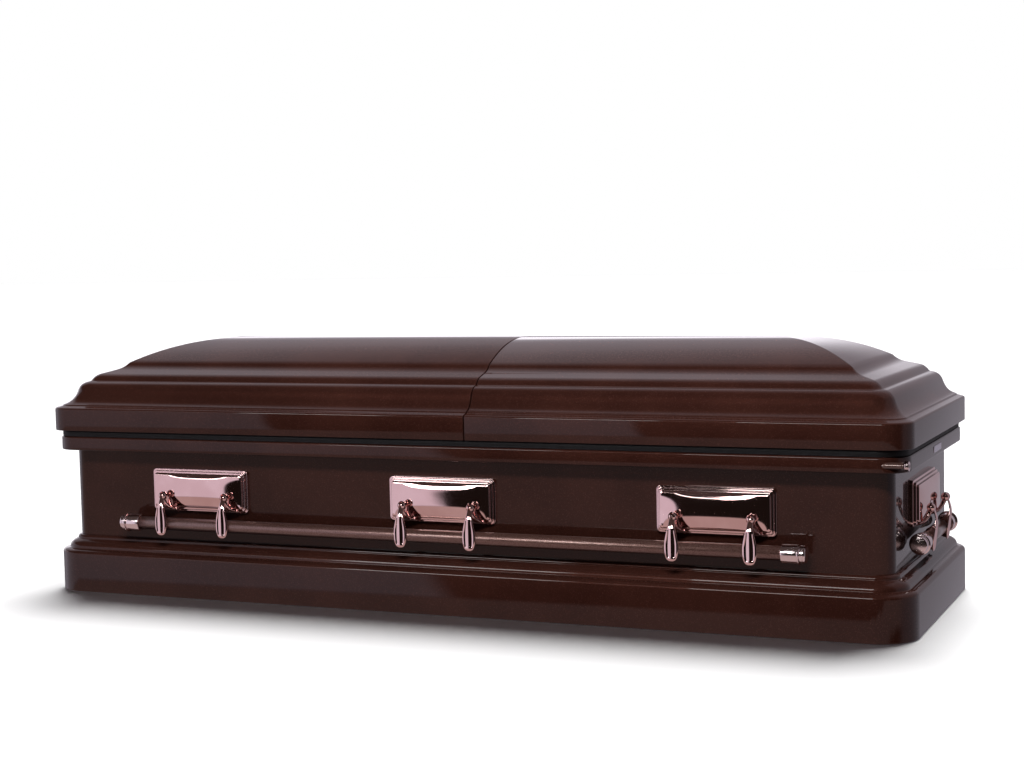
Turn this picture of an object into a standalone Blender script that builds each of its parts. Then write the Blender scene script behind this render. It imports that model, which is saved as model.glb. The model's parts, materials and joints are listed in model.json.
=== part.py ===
"""Half-couch metal casket with six swing-bar handle sets along its sides and one at each end.

Metres, +Z up. The front faces -Y, the head end is at -X, and the origin is under the middle
of the base. Sheet parts are folded from one thickness of sheet and stay hollow and empty.
"""
import math

import bmesh
import bpy
from mathutils import Matrix, Vector

# Sheet, fits and fineness
SHEET = 0.0015
FIT_GAP = 0.0003
CORNER_STEPS = 3
EAR_CORNER_STEPS = 2

# Outline of the lid rim, and what steps out from the body walls
RIM_LENGTH = 2.1336
RIM_WIDTH = 0.7244
RIM_OVERHANG = 0.0442
LEDGE_OVERHANG = 0.0348
SKIRT_OVERHANG = 0.0476

# Heights
SKIRT_HEIGHT = 0.0965
MOULDING_HEIGHT = 0.1365
LEDGE_BOTTOM = 0.3516
LEDGE_TOP = 0.3850
RIM_BOTTOM = 0.4004
RIDGE_HEIGHT = 0.6142

# Plan radii of the corners
BODY_CORNER = 0.038
LEDGE_CORNER = 0.0605
SKIRT_CORNER = 0.086
RIM_CORNER = 0.0585
NOSE_CORNER = 0.032
SHELF_CORNER = 0.014

# Body details
FOLD_RADIUS = 0.004
SKIRT_FOOT_WIDTH = 0.045
LEDGE_LIP_WIDTH = 0.036
GASKET_SETBACK = 0.003
GASKET_WIDTH = 0.015

# Lid moulding, as insets from the rim's face and rises above the rim's lower edge
RIM_FACE = 0.0512
SHOULDER_INSET, SHOULDER_RISE = 0.0155, 0.0601
OGEE_INSET, OGEE_RISE = 0.045, 0.0951
NOSE_INSET, NOSE_RISE = 0.066, 0.1168
VALLEY_INSET, VALLEY_RISE = 0.0745, 0.1191
ROLL_INSET, ROLL_RISE = 0.0965, 0.1361
SHELF_INSET, SHELF_RISE = 0.121, 0.1426
CREASE_INSET, CREASE_RISE = 0.149, 0.1601
CROWN_POWER = 2.2
CROWN_STEPS = 6
LID_LIP_WIDTH = 0.030
LID_SPLIT_X = 0.076
LID_SPLIT_GAP = 0.003

# Lid hinges
HINGE_LENGTH = 0.076
HINGE_RADIUS = 0.0045
HINGE_PIN_RADIUS = 0.0020
HINGE_LEAF = 0.002
HINGE_LEAF_HEIGHT = 0.030
HINGE_END_MARGIN = 0.20
HINGE_Z = 0.3940

# Ear plates
EAR_WIDTH = 0.266
EAR_HEIGHT = 0.102
EAR_CENTRE_Z = 0.2590
EAR_FIRST_STEP = 0.007
EAR_SECOND_STEP = 0.0130
EAR_TREAD = 0.005
EAR_RIM_DEPTH = 0.018
EAR_DEPTH = 0.0215
EAR_CORNER = 0.010
EAR_SPACING = 0.647

# Swing arms
KNUCKLE_DEPTH = 0.037
KNUCKLE_Z = 0.2480
KNUCKLE_RADIUS = 0.0105
LUG_EYE_RADIUS = 0.0060
LUG_THICKNESS = 0.0050
LUG_PIN_RADIUS = 0.0020
LUG_FOOT_WIDTH = 0.014
ARM_SPACING = 0.172
ARM_BOTTOM_Z = 0.1536
ARM_THICKNESS = 0.0030
ARM_NECK_WIDTH = 0.012
ARM_LOBE_WIDTH = 0.031
ARM_WEB_WIDTH = 0.010
END_HANG = 6.5  # degrees that the end handles hang in towards the wall

# Bars and their tips
BAR_RADIUS = 0.0155
BAR_DEPTH = 0.035
BAR_Z = 0.1792
BAR_OVERHANG = 0.119
END_BAR_OVERHANG = 0.098
BAR_SIDES = 12
TIP_LENGTH = 0.053
TIP_RADIUS = 0.0205
TIP_SIDES = 10

# Lock at the foot end, and the bare plate on that end
LOCK_RADIUS = 0.0073
LOCK_Z = 0.3685
LOCK_LENGTH = 0.050
LOCK_CAP_RADIUS = 0.0105
LOCK_CAP_LENGTH = 0.012
LOCK_STAND = 0.006
PLATE_WIDTH = 0.080
PLATE_HEIGHT = 0.020
PLATE_THICKNESS = 0.0008

RIM_X = RIM_LENGTH / 2
RIM_Y = RIM_WIDTH / 2
BODY_X = RIM_X - RIM_OVERHANG
BODY_Y = RIM_Y - RIM_OVERHANG

PAINT = ("Brown metallic paint", (0.033, 0.016, 0.013), 0.28, 0.55)
COPPER = ("Polished rose copper", (0.78, 0.50, 0.46), 0.08, 1.0)
BAR_PAINT = ("Pebbled brown bar", (0.14, 0.052, 0.036), 0.38, 0.7)
RUBBER = ("Black rubber", (0.012, 0.013, 0.016), 0.6, 0.0)
STEEL = ("Zinc-plated hinge steel", (0.36, 0.36, 0.37), 0.35, 1.0)
SATIN = ("Satin metal plate", (0.50, 0.48, 0.56), 0.3, 0.9)


class Section:
    """A folded outline of (out from the reference wall, height, plan corner radius)."""

    def __init__(self, out, z, corner):
        self.points = [(out, z, corner)]

    def to(self, out, z, corner=None):
        corner = self.points[-1][2] if corner is None else corner
        self.points.append((out, z, corner))
        return self

    def bend(self, out, z, leave, arrive, steps, corner=None):
        """Curves to a point, leaving and arriving at headings in degrees (0 outward, 90 up)."""
        start = self.points[-1]
        corner = start[2] if corner is None else corner
        reach = math.dist(start[:2], (out, z)) * 0.38
        a, b = math.radians(leave), math.radians(arrive)
        knots = (Vector(start[:2]),
                 Vector(start[:2]) + reach * Vector((math.cos(a), math.sin(a))),
                 Vector((out, z)) - reach * Vector((math.cos(b), math.sin(b))),
                 Vector((out, z)))
        for i in range(1, steps + 1):
            t = i / steps
            weights = ((1 - t) ** 3, 3 * t * (1 - t) ** 2, 3 * t * t * (1 - t), t ** 3)
            p = sum((w * k for w, k in zip(weights, knots)), Vector((0, 0)))
            self.points.append((p.x, p.y, start[2] + (corner - start[2]) * t))
        return self


def offset_inward(points, distance):
    """Moves an upward-running outline towards the inside by one distance, mitred."""
    moved = []
    for i, (out, z, corner) in enumerate(points):
        before = Vector(points[max(i - 1, 0)][:2])
        after = Vector(points[min(i + 1, len(points) - 1)][:2])
        here = Vector((out, z))
        sides = [(here - before).normalized(), (after - here).normalized()]
        normals = [Vector((-s.y, s.x)) for s in sides if s.length > 0]
        mean = sum(normals, Vector((0, 0))).normalized()
        stretch = distance / max(mean.dot(normals[0]), 0.5)
        p = here + mean * stretch
        moved.append((p.x, p.y, max(corner - distance, 0)))
    return moved


def plan_ring(half_x, half_y, corner, z, steps):
    """A rounded rectangle, counter-clockwise, with the same point count at any corner radius."""
    ring = []
    for quarter, (sx, sy) in enumerate(((1, 1), (-1, 1), (-1, -1), (1, -1))):
        centre = Vector((sx * (half_x - corner), sy * (half_y - corner), z))
        for step in range(steps + 1):
            angle = math.radians(90 * (quarter + step / steps))
            ring.append(centre + corner * Vector((math.cos(angle), math.sin(angle), 0)))
    return ring


def skin(rings, closed_section):
    """Closed mesh over a stack of rings: a tube with flat ends, or a ring-shaped loop."""
    bm = bmesh.new()
    stack = [[bm.verts.new(p) for p in ring] for ring in rings]
    pairs = list(zip(stack, stack[1:]))
    if closed_section:
        pairs.append((stack[-1], stack[0]))
    else:
        bm.faces.new(stack[0])
        bm.faces.new(stack[-1])
    for low, high in pairs:
        count = len(low)
        for i in range(count):
            j = (i + 1) % count
            bm.faces.new((low[i], low[j], high[j], high[i]))
    bmesh.ops.remove_doubles(bm, verts=bm.verts, dist=1e-6)
    bmesh.ops.recalc_face_normals(bm, faces=bm.faces)
    return bm


def loft(half_x, half_y, points, closed_section=False, steps=CORNER_STEPS):
    rings = [plan_ring(half_x + out, half_y + out, corner, z, steps) for out, z, corner in points]
    return skin(rings, closed_section)


def box(x0, x1, y0, y1, z0, z1):
    bm = bmesh.new()
    bmesh.ops.create_cube(bm, size=1)
    size = Matrix.Diagonal((x1 - x0, y1 - y0, z1 - z0, 1))
    middle = Matrix.Translation(((x0 + x1) / 2, (y0 + y1) / 2, (z0 + z1) / 2))
    bmesh.ops.transform(bm, matrix=middle @ size, verts=bm.verts)
    return bm


def prism_x(outline, x0, x1):
    """Extrudes a closed outline of (y, z) points along X."""
    return skin([[Vector((x, y, z)) for y, z in outline] for x in (x0, x1)], False)


def turned_x(profile, sides, y=0.0, z=0.0, turn=0.0):
    """A round piece along X from (x, radius) pairs."""
    rings = []
    for x, radius in profile:
        angles = [math.tau * i / sides + turn for i in range(sides)]
        rings.append([Vector((x, y + radius * math.cos(a), z + radius * math.sin(a))) for a in angles])
    return skin(rings, False)


def keep_side(bm, x, sign):
    """Cuts a closed mesh at a plane across X, keeps one side and closes it."""
    geom = bm.verts[:] + bm.edges[:] + bm.faces[:]
    cut = bmesh.ops.bisect_plane(bm, geom=geom, dist=1e-7, plane_co=(x, 0, 0),
                                 plane_no=(-sign, 0, 0), clear_outer=True)
    edges = [e for e in cut["geom_cut"] if isinstance(e, bmesh.types.BMEdge)]
    bmesh.ops.contextual_create(bm, geom=edges)
    bmesh.ops.recalc_face_normals(bm, faces=bm.faces)
    return bm


def material(look):
    name, colour, roughness, metallic = look
    made = bpy.data.materials.new(name)
    made.use_nodes = True
    shader = made.node_tree.nodes["Principled BSDF"]
    shader.inputs["Base Color"].default_value = (*colour, 1)
    shader.inputs["Roughness"].default_value = roughness
    shader.inputs["Metallic"].default_value = metallic
    made.diffuse_color = (*colour, 1)
    return made


def add_object(name, mesh, look, smooth_angle=35):
    if isinstance(mesh, bmesh.types.BMesh):
        bm = mesh
        mesh = bpy.data.meshes.new(name)
        bm.to_mesh(mesh)
        bm.free()
    mesh.shade_smooth()
    mesh.set_sharp_from_angle(angle=math.radians(smooth_angle))
    made = bpy.data.objects.new(name, mesh)
    bpy.context.scene.collection.objects.link(made)
    if not mesh.materials:
        mesh.materials.append(None)
    made.material_slots[0].link = "OBJECT"
    made.material_slots[0].material = material(look)
    return made


def combine(base, *steps):
    """Joins or cuts closed meshes in turn, and gives back one mesh."""
    scratch = [add_object("shape", base, PAINT)]
    for kind, bm in steps:
        tool = add_object("tool", bm, PAINT)
        modifier = scratch[0].modifiers.new(kind, "BOOLEAN")
        modifier.operation = kind
        modifier.solver = "EXACT"
        modifier.object = tool
        scratch.append(tool)
    evaluated = scratch[0].evaluated_get(bpy.context.evaluated_depsgraph_get())
    mesh = bpy.data.meshes.new_from_object(evaluated)
    mesh.materials.clear()
    for used in scratch:
        bpy.data.objects.remove(used)
    return mesh


def add_pivot(name, place):
    pivot = bpy.data.objects.new(name, None)
    pivot.location = place
    bpy.context.scene.collection.objects.link(pivot)
    return pivot


def hang(piece, pivot):
    """Parents a piece to its pivot without moving it."""
    bpy.context.view_layer.update()
    piece.parent = pivot
    piece.matrix_parent_inverse = pivot.matrix_world.inverted()


def make_base_moulding():
    """Skirt, step and top bead pressed from one sheet, turned in under the floor as a foot."""
    inner_foot = SKIRT_OVERHANG - SKIRT_FOOT_WIDTH
    outside = Section(inner_foot, 0, SKIRT_CORNER - SKIRT_FOOT_WIDTH)
    outside.to(SKIRT_OVERHANG - FOLD_RADIUS, 0, SKIRT_CORNER - FOLD_RADIUS)
    outside.bend(SKIRT_OVERHANG, FOLD_RADIUS, 0, 90, 2, SKIRT_CORNER)
    outside.to(SKIRT_OVERHANG, SKIRT_HEIGHT - FOLD_RADIUS)
    step_out = SKIRT_OVERHANG * 0.72
    bead_out = SKIRT_OVERHANG * 0.20
    rise = MOULDING_HEIGHT - SKIRT_HEIGHT
    outside.bend(step_out, SKIRT_HEIGHT + rise * 0.22, 90, 160, 3, SKIRT_CORNER * 0.85)
    outside.to(SKIRT_OVERHANG * 0.62, SKIRT_HEIGHT + rise * 0.27, SKIRT_CORNER * 0.8)
    outside.bend(bead_out, SKIRT_HEIGHT + rise * 0.74, 95, 165, 4, BODY_CORNER * 1.3)
    lip = SHEET + FIT_GAP
    outside.bend(lip, MOULDING_HEIGHT, 100, 165, 2, BODY_CORNER + lip)
    inside = offset_inward(outside.points[1:-1], SHEET)
    start = (inner_foot, SHEET, SKIRT_CORNER - SKIRT_FOOT_WIDTH)
    end = (FIT_GAP, MOULDING_HEIGHT, BODY_CORNER + FIT_GAP)
    inside = [p for p in inside if p[0] > lip]
    section = outside.points + [end, (FIT_GAP, inside[-1][1] - SHEET, BODY_CORNER + FIT_GAP)]
    section += inside[-2::-1] + [start]
    return add_object("base_moulding", loft(BODY_X, BODY_Y, section, True), PAINT)


def ledge_outline():
    """The outer faces of the ledge band, from its underside to its top."""
    outline = Section(LEDGE_OVERHANG - FOLD_RADIUS, LEDGE_BOTTOM, LEDGE_CORNER - FOLD_RADIUS)
    outline.bend(LEDGE_OVERHANG, LEDGE_BOTTOM + FOLD_RADIUS, 0, 90, 2, LEDGE_CORNER)
    outline.to(LEDGE_OVERHANG, LEDGE_TOP - FOLD_RADIUS)
    outline.bend(LEDGE_OVERHANG - FOLD_RADIUS, LEDGE_TOP, 90, 180, 2, LEDGE_CORNER - FOLD_RADIUS)
    return outline.points


def make_body_shell():
    """Walls, floor and ledge of one sheet thickness, welded into one open box."""
    floor = SHEET + FIT_GAP
    lip = LEDGE_OVERHANG - LEDGE_LIP_WIDTH
    lip_corner = LEDGE_CORNER - LEDGE_LIP_WIDTH
    section = Section(-FOLD_RADIUS, floor, BODY_CORNER - FOLD_RADIUS)
    section.bend(0, floor + FOLD_RADIUS, 0, 90, 2, BODY_CORNER)
    section.to(0, LEDGE_BOTTOM)
    section.points += ledge_outline()
    section.to(lip, LEDGE_TOP, lip_corner)
    section.to(lip, LEDGE_TOP - SHEET)
    section.to(LEDGE_OVERHANG - SHEET, LEDGE_TOP - SHEET, LEDGE_CORNER - SHEET)
    section.to(LEDGE_OVERHANG - SHEET, LEDGE_BOTTOM + SHEET)
    section.to(-SHEET, LEDGE_BOTTOM + SHEET, BODY_CORNER - SHEET)
    section.to(-SHEET, floor + SHEET)
    return add_object("body_shell", loft(BODY_X, BODY_Y, section.points), PAINT)


def make_gasket():
    """Rubber seal lying on the ledge, under the lid's turned-in lip."""
    out = LEDGE_OVERHANG - GASKET_SETBACK
    low = LEDGE_TOP + FIT_GAP
    high = RIM_BOTTOM - FIT_GAP
    waist = low + (high - low) * 0.6
    inner = out - GASKET_WIDTH
    shy = GASKET_WIDTH * 0.2
    corner = LEDGE_CORNER - GASKET_SETBACK
    section = Section(inner, low, corner - GASKET_WIDTH).to(out, low, corner).to(out, waist)
    section.to(out - shy, high, corner - shy).to(inner, high, corner - GASKET_WIDTH)
    return add_object("gasket", loft(BODY_X, BODY_Y, section.points, True), RUBBER)


def lid_outline():
    """Outer face of the lid, from the rim's lower edge to the crown."""
    edge = 0.0015
    line = Section(-edge, RIM_BOTTOM, RIM_CORNER - edge).to(0, RIM_BOTTOM + edge, RIM_CORNER)
    line.to(0, RIM_BOTTOM + RIM_FACE)
    line.bend(-0.005, RIM_BOTTOM + RIM_FACE + 0.0056, 90, 168, 2, RIM_CORNER * 0.95)
    line.to(-SHOULDER_INSET, RIM_BOTTOM + SHOULDER_RISE, RIM_CORNER * 0.85)
    line.bend(-OGEE_INSET, RIM_BOTTOM + OGEE_RISE, 155, 112, 4, (RIM_CORNER + NOSE_CORNER) / 2)
    line.bend(-NOSE_INSET, RIM_BOTTOM + NOSE_RISE, 112, 162, 4, NOSE_CORNER)
    line.to(-VALLEY_INSET, RIM_BOTTOM + VALLEY_RISE, NOSE_CORNER * 0.8)
    line.bend(-ROLL_INSET, RIM_BOTTOM + ROLL_RISE, 125, 165, 3, SHELF_CORNER)
    line.to(-SHELF_INSET, RIM_BOTTOM + SHELF_RISE, SHELF_CORNER * 0.6)
    line.bend(-CREASE_INSET, RIM_BOTTOM + CREASE_RISE, 164, 132, 3, 0)
    crease_z = RIM_BOTTOM + CREASE_RISE
    span = RIM_Y - CREASE_INSET
    for i in range(1, CROWN_STEPS + 1):
        left = 1 - i / (CROWN_STEPS + 0.6)
        drop = (RIDGE_HEIGHT - crease_z) * left ** CROWN_POWER
        line.to(-(RIM_Y - span * left), RIDGE_HEIGHT - drop, 0)
    return line.points


def lid_form():
    """The whole lid's outer form, as a solid with its ridge closed flat."""
    points = lid_outline()
    points[-1] = (points[-1][0], RIDGE_HEIGHT, 0)
    return loft(RIM_X, RIM_Y, points)


def lid_hollow():
    """What the sheet encloses, open downward inside the turned-in lip."""
    points = offset_inward(lid_outline()[2:], SHEET)
    points[-1] = (points[-1][0], RIDGE_HEIGHT - SHEET, 0)
    lip_corner = RIM_CORNER - LID_LIP_WIDTH
    below = RIM_BOTTOM - LID_LIP_WIDTH
    rim_inside = (-SHEET, RIM_BOTTOM + SHEET, RIM_CORNER - SHEET)
    start = [(-LID_LIP_WIDTH, below, lip_corner), (-LID_LIP_WIDTH, RIM_BOTTOM + SHEET, lip_corner)]
    return loft(RIM_X, RIM_Y, start + [rim_inside] + points)


def make_lid(name, side):
    """One half of the lid, closed by a sheet wall where the two halves meet."""
    face = LID_SPLIT_X + side * LID_SPLIT_GAP / 2
    outer = keep_side(lid_form(), face, side)
    hollow = keep_side(lid_hollow(), face + side * SHEET, side)
    return add_object(name, combine(outer, ("DIFFERENCE", hollow)), PAINT)


def hinge_axis_y():
    return BODY_Y + LEDGE_OVERHANG + FIT_GAP + HINGE_RADIUS


def make_hinge(name, x, pivot):
    """Butt hinge: the fixed leaf with the pin, and the lid's leaf turning on it."""
    y = hinge_axis_y()
    third = HINGE_LENGTH / 3
    low, high = x - HINGE_LENGTH / 2, x + HINGE_LENGTH / 2
    back = y - HINGE_RADIUS
    front = back + HINGE_LEAF
    under = HINGE_Z - HINGE_RADIUS - HINGE_LEAF
    steps = [("UNION", turned_x(((low, HINGE_PIN_RADIUS), (high, HINGE_PIN_RADIUS)), 6, y, HINGE_Z))]
    for x0, x1 in ((low, low + third), (high - third, high)):
        knuckle = turned_x(((x0, HINGE_RADIUS), (x1, HINGE_RADIUS)), 8, y, HINGE_Z)
        steps += [("UNION", box(x0, x1, back, front, under - HINGE_LEAF, HINGE_Z)), ("UNION", knuckle)]
    leaf = box(low, high, back, front, HINGE_Z - HINGE_LEAF_HEIGHT, under)
    add_object(name + "_fixed_leaf", combine(leaf, *steps), STEEL)

    x0, x1 = low + third + FIT_GAP, high - third - FIT_GAP
    wall = RIM_Y + FIT_GAP
    leaf = box(low, high, wall, wall + HINGE_LEAF, RIM_BOTTOM + HINGE_LEAF, RIM_BOTTOM + HINGE_LEAF_HEIGHT)
    hook = prism_x([(y, HINGE_Z), (y + HINGE_RADIUS, HINGE_Z), (wall + HINGE_LEAF, RIM_BOTTOM - HINGE_LEAF),
                    (wall + HINGE_LEAF, RIM_BOTTOM + HINGE_LEAF * 2), (wall, RIM_BOTTOM + HINGE_LEAF * 2),
                    (wall, RIM_BOTTOM - FIT_GAP), (y, RIM_BOTTOM - FIT_GAP)], x0, x1)
    barrel = turned_x(((x0, HINGE_RADIUS), (x1, HINGE_RADIUS)), 8, y, HINGE_Z)
    bore_radius = (HINGE_PIN_RADIUS + FIT_GAP) / math.cos(math.pi / 6)
    bore = turned_x(((low, bore_radius), (high, bore_radius)), 6, y, HINGE_Z)
    moving = combine(leaf, ("UNION", hook), ("UNION", barrel), ("DIFFERENCE", bore))
    hang(add_object(name + "_lid_leaf", moving, STEEL), pivot)


def make_lids():
    for name, side in (("head", -1), ("foot", 1)):
        pivot = add_pivot(name + "_lid_pivot", (0, hinge_axis_y(), HINGE_Z))
        hang(make_lid(name + "_lid", side), pivot)
        outer_x = side * (RIM_X - HINGE_END_MARGIN)
        inner_x = LID_SPLIT_X + side * HINGE_END_MARGIN
        for place, x in (("outer", outer_x), ("inner", inner_x)):
            make_hinge(f"{name}_{place}_hinge", x, pivot)


def ear_mesh():
    """Ear plate: a stepped border and a pillowed face, with two lugs cast on it."""
    line = Section(0, FIT_GAP, EAR_CORNER).to(0, EAR_FIRST_STEP)
    line.to(-EAR_TREAD * 0.8, EAR_FIRST_STEP + EAR_TREAD * 0.2, EAR_CORNER * 0.8)
    line.to(-EAR_TREAD, EAR_SECOND_STEP)
    line.to(-EAR_TREAD * 1.8, EAR_SECOND_STEP + EAR_TREAD * 0.2, EAR_CORNER * 0.6)
    line.to(-EAR_TREAD * 2.1, EAR_RIM_DEPTH)
    line.to(-EAR_HEIGHT * 0.38, EAR_DEPTH, EAR_CORNER * 0.4)
    plate = loft(EAR_WIDTH / 2, EAR_HEIGHT / 2, line.points, steps=EAR_CORNER_STEPS)
    stand = Matrix.Translation((0, 0, EAR_CENTRE_Z)) @ Matrix.Rotation(math.pi / 2, 4, "X")
    bmesh.ops.transform(plate, matrix=stand, verts=plate.verts)
    bore = knuckle_pin((LUG_PIN_RADIUS + FIT_GAP) / math.cos(math.pi / 6), ARM_SPACING)
    lugs = [("UNION", lug(side * ARM_SPACING / 2)) for side in (-1, 1)]
    return combine(plate, *lugs, ("DIFFERENCE", bore))


def knuckle_pin(radius, half_length):
    return turned_x(((-half_length, radius), (half_length, radius)), 6, -KNUCKLE_DEPTH, KNUCKLE_Z)


def lug(x):
    """Horn from the plate's lower border up to the knuckle, where it ends in a round eye."""
    eye = []
    for i in range(5):
        angle = math.radians(-20 + 55 * i)
        eye.append((math.cos(angle), math.sin(angle)))
    foot_z = EAR_CENTRE_Z - EAR_HEIGHT / 2 + LUG_FOOT_WIDTH * 0.2
    outline = [(-(KNUCKLE_DEPTH + LUG_EYE_RADIUS * c), KNUCKLE_Z + LUG_EYE_RADIUS * s) for c, s in eye]
    outline.append((-EAR_RIM_DEPTH * 0.6, foot_z))
    outline.append((-EAR_RIM_DEPTH * 1.15, foot_z))
    return prism_x(outline, x - LUG_THICKNESS / 2, x + LUG_THICKNESS / 2)


def arm_mesh():
    """Swing arm about its knuckle: slotted ball, teardrop strap, saddle over the bar and foot."""
    strap_back = BAR_DEPTH + BAR_RADIUS + FIT_GAP
    top_z = KNUCKLE_Z - KNUCKLE_RADIUS * 0.2
    length = top_z - ARM_BOTTOM_Z
    lobe = 0.66
    rings = []
    for share in (0, 0.15, 0.36, lobe, 0.88, 1):
        rise = min(share / 0.36, 1)
        back = KNUCKLE_DEPTH + KNUCKLE_RADIUS * 0.4
        back += (strap_back - back) * math.sin(rise * math.pi / 2)
        if share <= lobe:
            swell = math.sin(share / lobe * math.pi / 2) ** 2
        else:
            swell = 0.35 + 0.65 * math.sqrt(1 - ((share - lobe) / (1 - lobe)) ** 2)
        width = ARM_NECK_WIDTH + (ARM_LOBE_WIDTH - ARM_NECK_WIDTH) * swell
        z = top_z - share * length
        front = back + ARM_THICKNESS
        rings.append([Vector((width * s / 2, -d, z))
                      for s, d in ((-1, back), (1, back), (0.7, front), (-0.7, front))])
    strap = skin(rings, False)
    ball = bmesh.new()
    place = Matrix.Translation((0, -KNUCKLE_DEPTH, KNUCKLE_Z)) @ Matrix.Rotation(math.pi / 2, 4, "Y")
    bmesh.ops.create_uvsphere(ball, u_segments=8, v_segments=4, radius=KNUCKLE_RADIUS, matrix=place)
    half = ARM_WEB_WIDTH / 2
    bar_top = BAR_Z + BAR_RADIUS + FIT_GAP
    bar_low = BAR_Z - BAR_RADIUS - FIT_GAP
    deep = -(strap_back + ARM_THICKNESS * 0.5)
    saddle = prism_x([(deep, bar_top), (-(BAR_DEPTH - BAR_RADIUS * 0.5), bar_top),
                      (-(BAR_DEPTH + BAR_RADIUS * 0.2), bar_top + ARM_WEB_WIDTH * 0.4),
                      (deep, bar_top + ARM_WEB_WIDTH * 2)], -half, half)
    foot = prism_x([(deep, bar_low), (deep, ARM_BOTTOM_Z + ARM_THICKNESS),
                    (-(BAR_DEPTH + BAR_RADIUS * 0.1), bar_low - ARM_THICKNESS * 0.6),
                    (-(BAR_DEPTH - BAR_RADIUS * 0.2), bar_low)], -half, half)
    reach = KNUCKLE_RADIUS * 1.2
    slot = [(reach, reach), (reach, -reach), (-KNUCKLE_RADIUS * 0.25, -reach)]
    for i in range(4):
        angle = math.radians(-45 + 45 * i)
        radius = (LUG_EYE_RADIUS + FIT_GAP * 2) / math.cos(math.radians(22.5))
        slot.append((-radius * math.cos(angle), radius * math.sin(angle)))
    half_slot = LUG_THICKNESS / 2 + FIT_GAP
    slot = prism_x([(y - KNUCKLE_DEPTH, z + KNUCKLE_Z) for y, z in slot], -half_slot, half_slot)
    pin = knuckle_pin(LUG_PIN_RADIUS, half_slot + LUG_THICKNESS * 0.2)
    return combine(strap, ("UNION", ball), ("UNION", saddle), ("UNION", foot),
                   ("DIFFERENCE", slot), ("UNION", pin))


def bar_mesh(half_length):
    """Round bar, ending just inside its two tips' collars."""
    end = half_length - TIP_LENGTH - FIT_GAP
    return turned_x(((-end, BAR_RADIUS), (end, BAR_RADIUS)), BAR_SIDES, -BAR_DEPTH, BAR_Z)


def tip_mesh(half_length, side):
    """Turned tip: sleeve, raised collar, neck and rounded end."""
    shares = ((0, 1), (0.64, 1), (0.66, 1.14), (0.74, 1.14), (0.76, 0.94), (0.96, 0.92), (1, 0.78))
    inner = half_length - TIP_LENGTH
    profile = [(side * (inner + s * TIP_LENGTH), TIP_RADIUS * r) for s, r in shares]
    return turned_x(profile, TIP_SIDES, -BAR_DEPTH, BAR_Z)


def make_handles():
    """Three sets on one long bar at the front and the back, and one set at each end."""
    ear = ear_mesh()
    arm = arm_mesh()
    row = (-EAR_SPACING, 0, EAR_SPACING)
    sides = (("front", 0, BODY_Y, row, BAR_OVERHANG, 0),
             ("back", math.pi, BODY_Y, row, BAR_OVERHANG, 0),
             ("foot_end", math.pi / 2, BODY_X, (0,), END_BAR_OVERHANG, END_HANG),
             ("head_end", -math.pi / 2, BODY_X, (0,), END_BAR_OVERHANG, END_HANG))
    knuckle = Matrix.Translation((0, -KNUCKLE_DEPTH, KNUCKLE_Z))
    for name, turn, wall, places, overhang, hanging in sides:
        frame = Matrix.Rotation(turn, 4, "Z") @ Matrix.Translation((0, -wall, 0))
        pivot = add_pivot(name + "_handle_pivot", frame @ knuckle.translation)
        hung = frame @ knuckle @ Matrix.Rotation(math.radians(hanging), 4, "X") @ knuckle.inverted()
        moving = []
        for i, x in enumerate(places, 1):
            label = f"{name}_{i}" if len(places) > 1 else name
            plate = add_object(label + "_ear", ear, COPPER)
            plate.matrix_world = frame @ Matrix.Translation((x, 0, 0))
            for letter, side in (("a", -1), ("b", 1)):
                swing = add_object(f"{label}_arm_{letter}", arm, COPPER)
                swing.matrix_world = hung @ Matrix.Translation((x + side * ARM_SPACING / 2, 0, 0))
                moving.append(swing)
        half_length = max(places) + ARM_SPACING / 2 + overhang
        bar = add_object(name + "_bar", bar_mesh(half_length), BAR_PAINT)
        bar.matrix_world = hung
        moving.append(bar)
        for letter, side in (("a", -1), ("b", 1)):
            tip = add_object(f"{name}_tip_{letter}", tip_mesh(half_length, side), COPPER)
            tip.matrix_world = hung
            moving.append(tip)
        for piece in moving:
            hang(piece, pivot)


def make_lock():
    """Barrel standing out of the ledge's rounded corner, with a hexagonal cap for the key."""
    y = -(BODY_Y + LEDGE_OVERHANG - LOCK_RADIUS)
    end = BODY_X + LEDGE_OVERHANG + LOCK_STAND - LOCK_CAP_LENGTH
    barrel = turned_x(((end - LOCK_LENGTH, LOCK_RADIUS), (end, LOCK_RADIUS)), 12, y, LOCK_Z)
    grown = [(out + FIT_GAP, z, corner + FIT_GAP) for out, z, corner in ledge_outline()]
    low, high = grown[0], grown[-1]
    grown = [(low[0], LEDGE_BOTTOM - SHEET, low[2])] + grown + [(high[0], LEDGE_TOP + SHEET, high[2])]
    ledge = loft(BODY_X, BODY_Y, grown)
    add_object("lock_barrel", combine(barrel, ("DIFFERENCE", ledge)), PAINT)
    start = end + FIT_GAP
    collar = LOCK_CAP_RADIUS * 0.25
    profile = ((start, LOCK_RADIUS), (start + collar, LOCK_CAP_RADIUS),
               (end + LOCK_CAP_LENGTH - collar * 0.5, LOCK_CAP_RADIUS),
               (end + LOCK_CAP_LENGTH, LOCK_CAP_RADIUS * 0.85))
    add_object("lock_cap", turned_x(profile, 6, y, LOCK_Z, math.pi / 6), COPPER)


def make_plate():
    """Small bare plate on the ledge at the foot end."""
    face = BODY_X + LEDGE_OVERHANG + FIT_GAP
    middle = (LEDGE_BOTTOM + LEDGE_TOP) / 2
    plate = box(face, face + PLATE_THICKNESS, -PLATE_WIDTH / 2, PLATE_WIDTH / 2,
                middle - PLATE_HEIGHT / 2, middle + PLATE_HEIGHT / 2)
    add_object("bare_plate", plate, SATIN)


for old in list(bpy.data.objects):
    bpy.data.objects.remove(old)

make_base_moulding()
make_body_shell()
make_gasket()
make_lids()
make_handles()
make_lock()
make_plate()
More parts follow.
